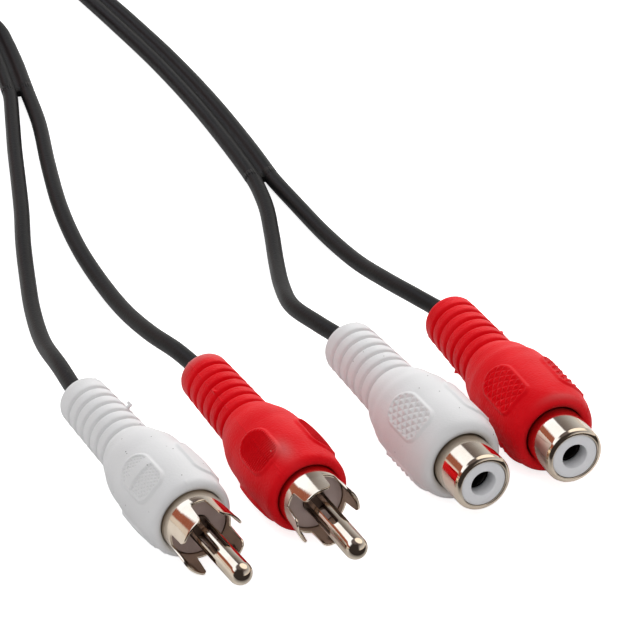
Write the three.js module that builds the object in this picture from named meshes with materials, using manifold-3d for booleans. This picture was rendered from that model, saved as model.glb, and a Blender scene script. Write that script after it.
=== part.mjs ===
// Stereo phono extension cable: two plugs, two in-line jacks and one figure-eight cable.
// Lengths are in millimetres, +Z is up, and the four connectors lie side by side on the ground
// plane with their noses towards -Y. The origin is under the middle of the four connectors.

import * as THREE from 'three';
import { mergeVertices } from 'three/addons/utils/BufferGeometryUtils.js';
import Module from 'manifold-3d';

const wasm = await Module();
wasm.setup();

// Shared clearances and mesh fineness
const CLEARANCE = 0.3;
const ROUND_SIDES = 20;
const SHELL_SIDES = 24;
const SMALL_SIDES = 12;

// Cable
const LEAD_DIAMETER = 2.5;
const TWIN_WIDTH = 5.5;
const TWIN_CHAMFER = 0.6;
const CABLE_LIFT = 0.1;
const LEAD_STEP = 7;
const TWIN_STEP = 9;
const CORE_RADIUS = 0.55;
const SHIELD_TAIL_RADIUS = 0.35;

// Ribbed boot, moulded in one with the body behind it
const BOOT_LENGTH = 15.2;
const COLLAR_LENGTH = 2.6;
const RIB_COUNT = 5;
const GROOVE_WIDTH = 0.8;
const GROOVE_DEPTH = 0.45;
const COLLAR_ROUND = 0.5;

// Body in front of the boot
const NOSE_ROUND = 0.9;
const CAVITY_START = 19.5;

// Raised grip pads, four round each body
const PAD_COUNT = 4;
const PAD_FIRST_ANGLE = Math.PI / 4;
const PAD_WIDTH = 5.3;
const PAD_CORNER = 0.9;
const PAD_HEIGHT = 0.28;
const PAD_RIM = 0.5;
const PAD_RECESS = 0.2;

// Metal shell of a plug and barrel of a jack share the part that sits in the body
const SHELL_RADIUS = 4.4;
const SHELL_WALL = 0.3;
const FLANGE_START = 30.4;
const FLANGE_THICKNESS = 0.4;
const FLANGE_BORE = 2.3;
const TAB_LENGTH = 4.4;
const TAB_WIDTH = 1.6;
const TAB_THICKNESS = 0.3;

// Petals of a plug's shell
const SLOT_START = 36.5;
const PETAL_LENGTH = 3.9;
const PETAL_COUNT = 4;
const PETAL_FLARE = 0.15;
const SLOT_WIDTH = 2;
const PETAL_CORNER = 1;

// Centre pin of a plug
const PIN_RADIUS = 1.6;
const PIN_WALL = 0.4;
const PIN_LENGTH_PAST_SLOTS = 12.85;
const PIN_SLOT_COUNT = 6;
const PIN_SLOT_WIDTH = 1;
const PIN_SLOT_LENGTH = 7;
const STEM_RADIUS = 0.9;
const STEM_START = 25;

// Insulator of a plug
const PLUG_FACE_DEPTH = 0.9;

// Barrel, insulator and contact of a jack
const BARREL_RADIUS = 4.15;
const BARREL_WALL = 0.5;
const BARREL_STEP = 34.4;
const BARREL_STEP_LENGTH = 0.6;
const BARREL_END = 40.9;
const RIM_ROUND = 0.5;
const JACK_FACE_DEPTH = 0.2;
const SOCKET_RADIUS = 1.8;
const SOCKET_DEPTH = 2.2;
const CONTACT_LENGTH = 4.6;
const CONTACT_WALL = 0.45;

// Inner mould round the soldered joints
const MOULD_WALL = 1.3;
const MOULD_END_WALL = 1.2;

// Outer sizes of the two kinds of body; a flare lists [distance from the tail end, radius]
const PLUG_FORM = {
  bootRear: 3.65,
  flare: [
    [BOOT_LENGTH, 3.98], [16.4, 4.6], [17.8, 5], [19.4, 5.52], [21.2, 5.78],
    [24, 6.05], [27, 6.2], [31.5, 5.88], [33.4, 5.74],
  ],
  length: 34.4,
  padStart: 23.1,
  padEnd: 31.7,
};
const JACK_FORM = {
  bootRear: 3.95,
  flare: [
    [BOOT_LENGTH, 4.32], [16.3, 4.9], [17.6, 5.42], [19, 5.7], [20.6, 6.16],
    [24, 6.4], [30, 6.4], [33, 6.14], [34.2, 5.9],
  ],
  length: 35.2,
  padStart: 22.9,
  padEnd: 31.9,
};

// Where each connector's boot ends on the ground plane, and how far it is turned
const PLACES = {
  white_plug: { x: -27.98, y: 25.14, turn: 2.5 },
  red_plug: { x: -10.24, y: 24.05, turn: 0 },
  white_jack: { x: 11.58, y: 22.87, turn: 0 },
  red_jack: { x: 28.08, y: 23.42, turn: -3.2 },
};

// How far each plug is rolled about its axis: angle of one petal and of one pin slot
const PETAL_ANGLES = { white_plug: 139.5, red_plug: 111 };
const PIN_SLOT_ANGLES = { white_plug: 81, red_plug: 115 };

// Routes of the cable as [x, y, height of the centre line], from the boots outwards
const LEAD_HEIGHT = LEAD_DIAMETER / 2 + CABLE_LIFT;
const ROUTES = {
  white_plug: [
    [-27.2, 36.4, 5.6], [-25.7, 46.8, 3.6], [-22.7, 59.1, 1.9], [-19.1, 71, LEAD_HEIGHT],
    [-15.9, 81, LEAD_HEIGHT], [-12.4, 90.9, LEAD_HEIGHT], [-9, 101.3, LEAD_HEIGHT],
    [-5.5, 112.2, LEAD_HEIGHT], [-2, 122.5, LEAD_HEIGHT], [1, 131.6, LEAD_HEIGHT],
  ],
  red_plug: [
    [-10.6, 32.6, 5.8], [-11.1, 41.2, 4.4], [-10.8, 51.6, 2.6], [-10, 62.5, 1.5],
    [-8.8, 75.4, LEAD_HEIGHT], [-6.4, 89.3, LEAD_HEIGHT], [-2.7, 104.1, LEAD_HEIGHT],
    [1.7, 119.9, LEAD_HEIGHT], [4.15, 131, LEAD_HEIGHT],
  ],
  white_jack: [
    [10.9, 31, 5.8], [10.8, 39.7, 4.4], [13, 48, 2.9], [16.2, 56.9, 1.7],
    [20.2, 67.4, LEAD_HEIGHT], [23.2, 76, LEAD_HEIGHT], [25.15, 84.1, LEAD_HEIGHT],
  ],
  red_jack: [
    [27.4, 32, 5.8], [26.9, 40.7, 4.4], [26.9, 51, 2.6], [27.3, 63, 1.5],
    [27.8, 74, LEAD_HEIGHT], [28.3, 84.1, LEAD_HEIGHT],
  ],
};
const TWIN_ROUTES = {
  jack_side: [
    [26.75, 84.6], [28, 95.3], [29.6, 114.3], [30.3, 133.6], [30.1, 153.1], [29.7, 172], [29.7, 195.7],
  ],
  plug_side: [
    [2.7, 131.9], [3.9, 137.5], [5.05, 142.9], [6, 148], [6.9, 153.2], [7.6, 158.4], [7, 164],
    [3.6, 169.2], [-2.4, 173], [-8.4, 175.9], [-13.9, 179.1],
  ],
};

// Coil of the length that is put away, wound in two layers
const COIL_CENTRE = [-1.3, 213];
const COIL_INNER_RADIUS = 18.6;
const COIL_OUTER_RADIUS = 33;
const COIL_HEIGHT = 11.1;
const TIE_WIDTH = 4;
const TIE_THICKNESS = 0.6;
const TIE_FLAT = 6.5;

// Finishes
const FINISHES = {
  white_vinyl: { color: 0xe2e2e3, roughness: 0.5, metalness: 0 },
  red_vinyl: { color: 0xd31a22, roughness: 0.5, metalness: 0 },
  nickel: { color: 0xd8d2c6, roughness: 0.18, metalness: 1 },
  mauve_insulator: { color: 0x766a6c, roughness: 0.6, metalness: 0 },
  grey_insulator: { color: 0xc6c6cb, roughness: 0.5, metalness: 0 },
  contact_metal: { color: 0x9a8f80, roughness: 0.35, metalness: 1 },
  natural_polythene: { color: 0xe8e6dc, roughness: 0.6, metalness: 0 },
  core_polythene: { color: 0xf2efe6, roughness: 0.6, metalness: 0 },
  copper: { color: 0xb87333, roughness: 0.35, metalness: 1 },
  black_vinyl: { color: 0x2c2c2d, roughness: 0.5, metalness: 0 },
};

function finish(name) {
  return new THREE.MeshStandardMaterial(FINISHES[name]);
}

function piece(name, geometry, finishName) {
  const mesh = new THREE.Mesh(geometry, finish(finishName));
  mesh.name = name;
  return mesh;
}

// Closed triangle mesh with shared vertices and no collapsed triangles
function welded(geometry) {
  const bare = geometry.clone();
  bare.deleteAttribute('normal');
  bare.deleteAttribute('uv');
  const merged = mergeVertices(bare, 1e-4);
  const source = merged.index.array;
  const kept = [];
  for (let i = 0; i < source.length; i += 3) {
    const [a, b, c] = [source[i], source[i + 1], source[i + 2]];
    if (a !== b && b !== c && c !== a) {
      kept.push(a, b, c);
    }
  }
  merged.setIndex(kept);
  return merged;
}

function toSolid(geometry) {
  const mesh = welded(geometry);
  return new wasm.Manifold(new wasm.Mesh({
    numProp: 3,
    vertProperties: new Float32Array(mesh.attributes.position.array),
    triVerts: new Uint32Array(mesh.index.array),
  }));
}

function toGeometry(solid) {
  const mesh = solid.getMesh();
  const geometry = new THREE.BufferGeometry();
  geometry.setAttribute('position', new THREE.BufferAttribute(mesh.vertProperties, 3));
  geometry.setIndex(new THREE.BufferAttribute(mesh.triVerts, 1));
  return geometry;
}

// Solid of revolution about Y from [radius, station] pairs, outer side first and going up
function turned(outline, sides = ROUND_SIDES) {
  const points = outline.map(([radius, station]) => new THREE.Vector2(radius, station));
  points.push(points[0].clone());
  return new THREE.LatheGeometry(points, sides);
}

// Prism whose [across, along] outline faces away from the axis at the given angle
function radialPrism(outline, innerRadius, outerRadius, angle) {
  const shape = new THREE.Shape(outline.map(([across, along]) => new THREE.Vector2(across, along)));
  const prism = new THREE.ExtrudeGeometry(shape, {
    depth: outerRadius - innerRadius,
    bevelEnabled: false,
    curveSegments: 3,
  });
  prism.translate(0, 0, innerRadius);
  prism.rotateY(Math.PI / 2 + angle);
  return prism;
}

// Points on an arc in the [across, along] plane
function arc(across, along, radiusAcross, radiusAlong, from, to, steps) {
  return Array.from({ length: steps + 1 }, (_, i) => {
    const angle = from + ((to - from) * i) / steps;
    return [across + radiusAcross * Math.cos(angle), along + radiusAlong * Math.sin(angle)];
  });
}

// Largest radius of a body, which is also the height of its axis above the ground
function widest(form) {
  return Math.max(...form.flare.map(([, radius]) => radius));
}

function radiusAt(flare, station) {
  for (let i = 1; i < flare.length; i += 1) {
    const [s0, r0] = flare[i - 1];
    const [s1, r1] = flare[i];
    if (station <= s1) {
      return r0 + ((r1 - r0) * (station - s0)) / (s1 - s0);
    }
  }
  return flare[flare.length - 1][1];
}

// Ribbed boot outline, from the collar to the last groove
function bootOutline(form) {
  const pitch = (BOOT_LENGTH - COLLAR_LENGTH - GROOVE_WIDTH) / RIB_COUNT;
  const bootFront = form.flare[0][1];
  const radius = (station) => THREE.MathUtils.lerp(form.bootRear, bootFront, station / BOOT_LENGTH);
  const outline = [[form.bootRear - COLLAR_ROUND, 0], [form.bootRear, COLLAR_ROUND]];
  for (let i = 0; i <= RIB_COUNT; i += 1) {
    const start = COLLAR_LENGTH + i * pitch;
    const end = start + GROOVE_WIDTH;
    outline.push([radius(start), start]);
    outline.push([radius(end) - GROOVE_DEPTH, (start + end) / 2]);
    if (i < RIB_COUNT) {
      outline.push([radius(end), end]);
    }
  }
  return outline;
}

// Arch-shaped outline of a grip pad, drawn in by the given margin
function padOutline(form, margin) {
  const half = PAD_WIDTH / 2 - margin;
  const start = form.padStart + margin;
  const end = form.padEnd - margin;
  const corner = PAD_CORNER - margin / 2;
  const archLength = PAD_WIDTH / 2;
  return [
    ...arc(half - corner, end - corner, corner, corner, 0, Math.PI / 2, 1),
    ...arc(-half + corner, end - corner, corner, corner, Math.PI / 2, Math.PI, 1),
    ...arc(0, start + archLength, half, archLength, Math.PI, 2 * Math.PI, 4),
  ];
}

// Layer of even thickness over the flare of a body, under its grip pads
function skin(form, from, to) {
  const { flare } = form;
  const first = form.padStart - 0.5;
  const last = form.padEnd + 0.5;
  const inside = flare.map(([station]) => station).filter((station) => station > first && station < last);
  const stations = [first, ...inside, last];
  const outer = stations.map((station) => [radiusAt(flare, station) + to, station]);
  const inner = stations.map((station) => [radiusAt(flare, station) + from, station]).reverse();
  return toSolid(turned([...outer, ...inner]));
}

function bodyGeometry(form) {
  const { flare } = form;
  const bore = LEAD_DIAMETER / 2 + CLEARANCE;
  const cavity = SHELL_RADIUS + CLEARANCE;
  const nose = flare[flare.length - 1];
  const outline = [
    ...bootOutline(form),
    ...flare.map(([station, radius]) => [radius, station]),
    [nose[1] - NOSE_ROUND / 3, form.length - NOSE_ROUND / 3],
    [nose[1] - NOSE_ROUND, form.length],
    [cavity, form.length - NOSE_ROUND / 3],
    [cavity, CAVITY_START],
    [bore, CAVITY_START],
    [bore, 0],
  ];
  let body = toSolid(turned(outline));
  const raised = skin(form, -0.4, PAD_HEIGHT);
  const sunk = skin(form, PAD_HEIGHT - PAD_RECESS, PAD_HEIGHT + 1);
  for (let i = 0; i < PAD_COUNT; i += 1) {
    const angle = PAD_FIRST_ANGLE + (i * 2 * Math.PI) / PAD_COUNT;
    const pad = toSolid(radialPrism(padOutline(form, 0), cavity, widest(form) * 1.3, angle));
    const recess = toSolid(radialPrism(padOutline(form, PAD_RIM), cavity, widest(form) * 1.3, angle));
    body = body.add(raised.intersect(pad)).subtract(sunk.intersect(recess));
  }
  return toGeometry(body);
}

// Solder tab that runs back from the flange beside the core wire
function solderTab() {
  const tab = new THREE.BoxGeometry(TAB_WIDTH, TAB_LENGTH + FLANGE_THICKNESS, TAB_THICKNESS);
  const middle = FLANGE_START - TAB_LENGTH + (TAB_LENGTH + FLANGE_THICKNESS) / 2;
  tab.translate(0, middle, FLANGE_BORE + TAB_THICKNESS / 2);
  return toSolid(tab);
}

function plugShellGeometry(petalAngle) {
  const inner = SHELL_RADIUS - SHELL_WALL;
  const tip = SLOT_START + PETAL_LENGTH;
  let shell = toSolid(turned([
    [SHELL_RADIUS, FLANGE_START],
    [SHELL_RADIUS, SLOT_START],
    [SHELL_RADIUS + PETAL_FLARE, tip],
    [inner + PETAL_FLARE, tip],
    [inner, SLOT_START],
    [inner, FLANGE_START + FLANGE_THICKNESS],
    [FLANGE_BORE, FLANGE_START + FLANGE_THICKNESS],
    [FLANGE_BORE, FLANGE_START],
  ], SHELL_SIDES)).add(solderTab());
  const half = SLOT_WIDTH / 2;
  const curveAt = tip - PETAL_CORNER;
  const curveMiddle = half + PETAL_CORNER + 0.1;
  const slot = [
    [half, SLOT_START],
    ...arc(curveMiddle, curveAt, PETAL_CORNER, PETAL_CORNER, Math.PI, Math.PI * 0.6, 2),
    [half + PETAL_CORNER, tip + 1],
    [-half - PETAL_CORNER, tip + 1],
    ...arc(-curveMiddle, curveAt, PETAL_CORNER, PETAL_CORNER, Math.PI * 0.4, 0, 2),
    [-half, SLOT_START],
  ];
  for (let i = 0; i < PETAL_COUNT; i += 1) {
    const angle = petalAngle + ((i + 0.5) * 2 * Math.PI) / PETAL_COUNT;
    shell = shell.subtract(toSolid(radialPrism(slot, inner - 1, SHELL_RADIUS + 2, angle)));
  }
  return toGeometry(shell);
}

function plugInsulatorGeometry() {
  const radius = SHELL_RADIUS - SHELL_WALL - CLEARANCE;
  const bore = PIN_RADIUS + CLEARANCE;
  const back = FLANGE_START + FLANGE_THICKNESS + CLEARANCE;
  const face = SLOT_START - PLUG_FACE_DEPTH;
  return turned([[radius, back], [radius, face], [bore, face], [bore, back]]);
}

function pinGeometry(slotAngle) {
  const end = SLOT_START + PIN_LENGTH_PAST_SLOTS;
  const domeAt = end - PIN_RADIUS;
  const shank = FLANGE_START - CLEARANCE;
  const hollowStart = SLOT_START + CLEARANCE;
  const dome = arc(0, domeAt, PIN_RADIUS, PIN_RADIUS, 0, Math.PI / 2, 3);
  let pin = toSolid(turned([
    [0, STEM_START],
    [STEM_RADIUS, STEM_START],
    [STEM_RADIUS, shank],
    [PIN_RADIUS, shank],
    ...dome.slice(0, -1),
    [0, end],
  ], 16));
  const hollow = turned([
    [0, hollowStart],
    [PIN_RADIUS - PIN_WALL, hollowStart],
    [PIN_RADIUS - PIN_WALL, domeAt - 1],
    [0, domeAt],
  ], SMALL_SIDES);
  pin = pin.subtract(toSolid(hollow));
  const half = PIN_SLOT_WIDTH / 2;
  const slotEnd = hollowStart + CLEARANCE + PIN_SLOT_LENGTH;
  const slot = [
    ...arc(0, slotEnd - half, half, half, 0, Math.PI, 3),
    ...arc(0, hollowStart + CLEARANCE + half, half, half, Math.PI, 2 * Math.PI, 3),
  ];
  for (let i = 0; i < PIN_SLOT_COUNT; i += 1) {
    const angle = slotAngle + (i * 2 * Math.PI) / PIN_SLOT_COUNT;
    pin = pin.subtract(toSolid(radialPrism(slot, PIN_RADIUS - 2 * PIN_WALL, PIN_RADIUS + 1, angle)));
  }
  return toGeometry(pin);
}

function barrelGeometry() {
  const inner = BARREL_RADIUS - BARREL_WALL;
  const half = BARREL_WALL / 2;
  const rim = arc(inner + half, BARREL_END - RIM_ROUND, half, RIM_ROUND, 0, Math.PI, 4);
  const barrel = toSolid(turned([
    [SHELL_RADIUS, FLANGE_START],
    [SHELL_RADIUS, BARREL_STEP],
    [BARREL_RADIUS, BARREL_STEP + BARREL_STEP_LENGTH],
    ...rim,
    [inner, FLANGE_START + FLANGE_THICKNESS],
    [FLANGE_BORE, FLANGE_START + FLANGE_THICKNESS],
    [FLANGE_BORE, FLANGE_START],
  ], SHELL_SIDES)).add(solderTab());
  return toGeometry(barrel);
}

// Radius of the pocket that holds the spring contact behind the socket
const CONTACT_RADIUS = PIN_RADIUS + CONTACT_WALL;
const CONTACT_FRONT = BARREL_END - JACK_FACE_DEPTH - SOCKET_DEPTH - CLEARANCE;

function jackInsulatorGeometry() {
  const radius = BARREL_RADIUS - BARREL_WALL - CLEARANCE;
  const back = FLANGE_START + FLANGE_THICKNESS + CLEARANCE;
  const face = BARREL_END - JACK_FACE_DEPTH;
  const pocket = CONTACT_RADIUS + CLEARANCE;
  const pocketBack = CONTACT_FRONT - CONTACT_LENGTH - CLEARANCE;
  const stemBore = STEM_RADIUS + CLEARANCE;
  return turned([
    [radius, back],
    [radius, face],
    [SOCKET_RADIUS, face],
    [SOCKET_RADIUS, face - SOCKET_DEPTH],
    [pocket, face - SOCKET_DEPTH],
    [pocket, pocketBack],
    [stemBore, pocketBack],
    [stemBore, back],
  ]);
}

function contactGeometry() {
  const back = CONTACT_FRONT - CONTACT_LENGTH;
  return turned([
    [0, STEM_START],
    [STEM_RADIUS, STEM_START],
    [STEM_RADIUS, back],
    [CONTACT_RADIUS, back],
    [CONTACT_RADIUS, CONTACT_FRONT],
    [PIN_RADIUS, CONTACT_FRONT],
    [PIN_RADIUS, back + CONTACT_WALL],
    [0, back + CONTACT_WALL],
  ], SMALL_SIDES);
}

// Where the jacket of a lead is stripped back, inside the inner mould
const MOULD_START = CAVITY_START + CLEARANCE;
const JACKET_END = MOULD_START + MOULD_END_WALL;

function innerMouldGeometry() {
  const radius = SHELL_RADIUS;
  const front = FLANGE_START - CLEARANCE;
  const bore = LEAD_DIAMETER / 2 + CLEARANCE;
  return turned([
    [radius, MOULD_START],
    [radius, front],
    [radius - MOULD_WALL, front],
    [radius - MOULD_WALL, JACKET_END],
    [bore, JACKET_END],
    [bore, MOULD_START],
  ], 16);
}

function coreWireGeometry() {
  const length = STEM_START - JACKET_END - 2 * CLEARANCE;
  const wire = new THREE.CylinderGeometry(CORE_RADIUS, CORE_RADIUS, length, SMALL_SIDES);
  wire.translate(0, JACKET_END + CLEARANCE + length / 2, 0);
  return wire;
}

// Twisted shield wires that leave the jacket and lie along the solder tab
function shieldTailGeometry() {
  const laid = FLANGE_BORE - CLEARANCE - SHIELD_TAIL_RADIUS;
  const start = JACKET_END + CLEARANCE;
  const route = new THREE.CatmullRomCurve3([
    new THREE.Vector3(0, start, CORE_RADIUS + CLEARANCE + SHIELD_TAIL_RADIUS + 0.1),
    new THREE.Vector3(0, start + 2.5, laid),
    new THREE.Vector3(0, FLANGE_START - TAB_LENGTH, laid),
    new THREE.Vector3(0, FLANGE_START - 6 * CLEARANCE, laid),
  ]);
  return new THREE.ExtrudeGeometry(polygon(6, SHIELD_TAIL_RADIUS), {
    steps: 6,
    extrudePath: route,
    bevelEnabled: false,
  });
}

function polygon(sides, radius) {
  const points = Array.from({ length: sides }, (_, i) => {
    const angle = (i * 2 * Math.PI) / sides;
    return new THREE.Vector2(radius * Math.cos(angle), radius * Math.sin(angle));
  });
  return new THREE.Shape(points);
}

// Connector on its side: its axis points along -Y after the flip about X
function laidConnector(name, form, pieces) {
  const flipped = new THREE.Group();
  flipped.rotation.x = Math.PI;
  pieces.forEach(([part, geometry, finishName]) => {
    flipped.add(piece(`${name}_${part}`, geometry, finishName));
  });
  const place = PLACES[name];
  const laid = new THREE.Group();
  laid.add(flipped);
  laid.position.set(place.x, place.y, widest(form));
  laid.rotation.z = THREE.MathUtils.degToRad(place.turn);
  return laid;
}

function wiring() {
  return [
    ['inner_mould', innerMouldGeometry(), 'natural_polythene'],
    ['core_wire', coreWireGeometry(), 'core_polythene'],
    ['shield_tail', shieldTailGeometry(), 'copper'],
  ];
}

function plug(name, bodyFinish) {
  const petalAngle = THREE.MathUtils.degToRad(PETAL_ANGLES[name]);
  const slotAngle = THREE.MathUtils.degToRad(PIN_SLOT_ANGLES[name]);
  return laidConnector(name, PLUG_FORM, [
    ['body', bodyGeometry(PLUG_FORM), bodyFinish],
    ['shell', plugShellGeometry(petalAngle), 'nickel'],
    ['insulator', plugInsulatorGeometry(), 'mauve_insulator'],
    ['pin', pinGeometry(slotAngle), 'nickel'],
    ...wiring(),
  ]);
}

function jack(name, bodyFinish) {
  return laidConnector(name, JACK_FORM, [
    ['body', bodyGeometry(JACK_FORM), bodyFinish],
    ['barrel', barrelGeometry(), 'nickel'],
    ['insulator', jackInsulatorGeometry(), 'grey_insulator'],
    ['contact', contactGeometry(), 'contact_metal'],
    ...wiring(),
  ]);
}

// Point on a connector's axis at a distance in front of its tail end
function onAxis(name, form, station) {
  const place = PLACES[name];
  const turn = THREE.MathUtils.degToRad(place.turn);
  return new THREE.Vector3(
    place.x + station * Math.sin(turn),
    place.y - station * Math.cos(turn),
    widest(form),
  );
}

// One jacketed lead, from the inner mould through the boot and along its route
function lead(name, form) {
  const stations = [JACKET_END, BOOT_LENGTH, BOOT_LENGTH / 2, 0, -2];
  const held = stations.map((station) => onAxis(name, form, station));
  const free = ROUTES[name].map(([x, y, z]) => new THREE.Vector3(x, y, z));
  const route = new THREE.CatmullRomCurve3([...held, ...free]);
  const geometry = new THREE.ExtrudeGeometry(polygon(8, LEAD_DIAMETER / 2), {
    steps: Math.round(route.getLength() / LEAD_STEP),
    extrudePath: route,
    bevelEnabled: false,
  });
  return piece(`${name}_lead`, geometry, 'black_vinyl');
}

// Flat stretch where both leads run side by side as one cable
function twin(name) {
  const route = new THREE.CatmullRomCurve3(
    TWIN_ROUTES[name].map(([x, y]) => new THREE.Vector3(x, y, LEAD_HEIGHT)),
  );
  const high = LEAD_DIAMETER / 2;
  const wide = TWIN_WIDTH / 2;
  const section = new THREE.Shape([
    new THREE.Vector2(high, wide - TWIN_CHAMFER),
    new THREE.Vector2(high - TWIN_CHAMFER, wide),
    new THREE.Vector2(-high + TWIN_CHAMFER, wide),
    new THREE.Vector2(-high, wide - TWIN_CHAMFER),
    new THREE.Vector2(-high, -wide + TWIN_CHAMFER),
    new THREE.Vector2(-high + TWIN_CHAMFER, -wide),
    new THREE.Vector2(high - TWIN_CHAMFER, -wide),
    new THREE.Vector2(high, -wide + TWIN_CHAMFER),
  ]);
  const geometry = new THREE.ExtrudeGeometry(section, {
    steps: Math.round(route.getLength() / TWIN_STEP),
    extrudePath: route,
    bevelEnabled: false,
  });
  return piece(`twin_cable_${name}`, geometry, 'black_vinyl');
}

// Ring that the put-away turns fill, lifted clear of the tie under it
function coil() {
  const bottom = TIE_THICKNESS + CLEARANCE;
  const ring = turned([
    [COIL_OUTER_RADIUS, bottom],
    [COIL_OUTER_RADIUS, bottom + COIL_HEIGHT],
    [COIL_INNER_RADIUS, bottom + COIL_HEIGHT],
    [COIL_INNER_RADIUS, bottom],
  ]);
  const mesh = piece('cable_coil', ring, 'black_vinyl');
  mesh.rotation.x = Math.PI / 2;
  mesh.position.set(COIL_CENTRE[0], COIL_CENTRE[1], 0);
  return mesh;
}

// Strap round the bundle of turns, square on one of the ring's flats
function coilTie() {
  const flat = Math.cos(Math.PI / ROUND_SIDES);
  const inside = COIL_INNER_RADIUS * flat - CLEARANCE;
  const outside = COIL_OUTER_RADIUS * flat + CLEARANCE;
  const top = TIE_THICKNESS + 2 * CLEARANCE + COIL_HEIGHT;
  const box = (left, bottom, right, above) => [
    new THREE.Vector2(left, bottom),
    new THREE.Vector2(right, bottom),
    new THREE.Vector2(right, above),
    new THREE.Vector2(left, above),
  ];
  const band = new THREE.Shape(box(inside - TIE_THICKNESS, 0, outside + TIE_THICKNESS, top + TIE_THICKNESS));
  band.holes.push(new THREE.Path(box(inside, TIE_THICKNESS, outside, top)));
  const geometry = new THREE.ExtrudeGeometry(band, { depth: TIE_WIDTH, bevelEnabled: false });
  geometry.translate(0, 0, -TIE_WIDTH / 2);
  geometry.rotateX(Math.PI / 2);
  const mesh = piece('coil_tie', geometry, 'black_vinyl');
  mesh.position.set(COIL_CENTRE[0], COIL_CENTRE[1], 0);
  mesh.rotation.z = (TIE_FLAT * 2 * Math.PI) / ROUND_SIDES;
  return mesh;
}

const cable = new THREE.Group();
cable.add(
  plug('white_plug', 'white_vinyl'),
  plug('red_plug', 'red_vinyl'),
  jack('white_jack', 'white_vinyl'),
  jack('red_jack', 'red_vinyl'),
  lead('white_plug', PLUG_FORM),
  lead('red_plug', PLUG_FORM),
  lead('white_jack', JACK_FORM),
  lead('red_jack', JACK_FORM),
  twin('jack_side'),
  twin('plug_side'),
  coil(),
  coilTie(),
);

export default cable;
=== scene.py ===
import math

import bmesh
import bpy
import numpy as np
from mathutils import Matrix, Vector


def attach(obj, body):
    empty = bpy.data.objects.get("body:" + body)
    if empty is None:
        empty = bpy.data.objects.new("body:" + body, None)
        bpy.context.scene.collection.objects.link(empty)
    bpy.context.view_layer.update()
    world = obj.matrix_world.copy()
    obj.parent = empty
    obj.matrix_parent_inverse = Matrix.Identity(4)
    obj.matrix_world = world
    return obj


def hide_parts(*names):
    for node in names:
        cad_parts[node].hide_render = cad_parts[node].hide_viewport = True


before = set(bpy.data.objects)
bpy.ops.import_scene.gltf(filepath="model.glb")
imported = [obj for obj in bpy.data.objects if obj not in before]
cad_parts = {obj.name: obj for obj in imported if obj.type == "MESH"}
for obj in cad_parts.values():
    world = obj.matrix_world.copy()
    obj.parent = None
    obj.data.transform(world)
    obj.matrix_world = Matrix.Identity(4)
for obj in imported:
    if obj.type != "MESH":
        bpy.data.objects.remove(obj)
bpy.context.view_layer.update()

# Table, light and camera
# The cable lies on a plain white table in a white room, under one large soft lamp on the right,
# a weaker one on the left and a third overhead. Past a line just in front of the pin tips the table is
# painted in the colour of an unlit room for glossy rays only: a painted reflection in the plating.

MM = 0.001
UNLIT = (0.04, 0.034, 0.032)
PAINTED_REFLECTION_EDGE = (-23 * MM, -31 * MM)


def nodes_of(material):
    material.use_nodes = True
    tree = material.node_tree
    tree.nodes.clear()
    return tree


def add_node(tree, kind, inputs=None, **settings):
    made = tree.nodes.new(kind)
    for name, value in settings.items():
        setattr(made, name, value)
    for socket, value in (inputs or {}).items():
        if isinstance(value, bpy.types.NodeSocket):
            tree.links.new(value, made.inputs[socket])
        else:
            made.inputs[socket].default_value = value
    return made


def table_finish():
    material = bpy.data.materials.new("white_table")
    tree = nodes_of(material)
    place = add_node(tree, "ShaderNodeTexCoord")
    cloud = add_node(tree, "ShaderNodeTexNoise", {
        "Vector": place.outputs["Object"], "Scale": 9.0, "Detail": 2.0,
    })
    tone = add_node(tree, "ShaderNodeMix", {
        0: cloud.outputs["Fac"], 6: (0.82, 0.82, 0.82, 1), 7: (0.86, 0.86, 0.86, 1),
    }, data_type="RGBA")
    spot = add_node(tree, "ShaderNodeSeparateXYZ", {"Vector": place.outputs["Object"]})
    # Painted reflection: past this line glossy rays see the table in the colour of an unlit room.
    past_reflection_edge = add_node(tree, "ShaderNodeMapRange", {
        0: spot.outputs["Y"], 1: PAINTED_REFLECTION_EDGE[0], 2: PAINTED_REFLECTION_EDGE[1],
    })
    mirrored = add_node(tree, "ShaderNodeLightPath").outputs["Is Glossy Ray"]
    painted_dark_reflection = add_node(tree, "ShaderNodeMath", {0: past_reflection_edge.outputs[0], 1: mirrored}, operation="MULTIPLY")
    shade = add_node(tree, "ShaderNodeMix", {
        0: painted_dark_reflection.outputs[0], 6: tone.outputs[2], 7: (*UNLIT, 1),
    }, data_type="RGBA")
    paper = add_node(tree, "ShaderNodeBsdfDiffuse", {"Color": shade.outputs[2]})
    glow = add_node(tree, "ShaderNodeEmission", {"Strength": 0.8})
    none = add_node(tree, "ShaderNodeEmission", {"Strength": 0.0})
    seen = add_node(tree, "ShaderNodeLightPath").outputs["Is Camera Ray"]
    lift = add_node(tree, "ShaderNodeMixShader", {0: seen, 1: none.outputs[0], 2: glow.outputs[0]})
    both = add_node(tree, "ShaderNodeAddShader", {0: paper.outputs[0], 1: lift.outputs[0]})
    add_node(tree, "ShaderNodeOutputMaterial", {"Surface": both.outputs[0]})
    return material


bpy.ops.object.select_all(action="DESELECT")
bpy.ops.mesh.primitive_plane_add(size=6)
table = bpy.context.object
table.name = "table"
table.data.materials.append(table_finish())

# White room as the plating sees it: brown wood under a bright window on the left, a wall that darkens
# upwards on the right, the unlit side in front and a lamp high on the right. The vinyl is lit by an
# even white.
world = bpy.data.worlds.new("white_room")
bpy.context.scene.world = world
world.use_nodes = True
room = world.node_tree
room.nodes.clear()
way = add_node(room, "ShaderNodeTexCoord").outputs["Generated"]
heading = add_node(room, "ShaderNodeSeparateXYZ", {"Vector": way})

RAMP_LOW = 0.2


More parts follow.
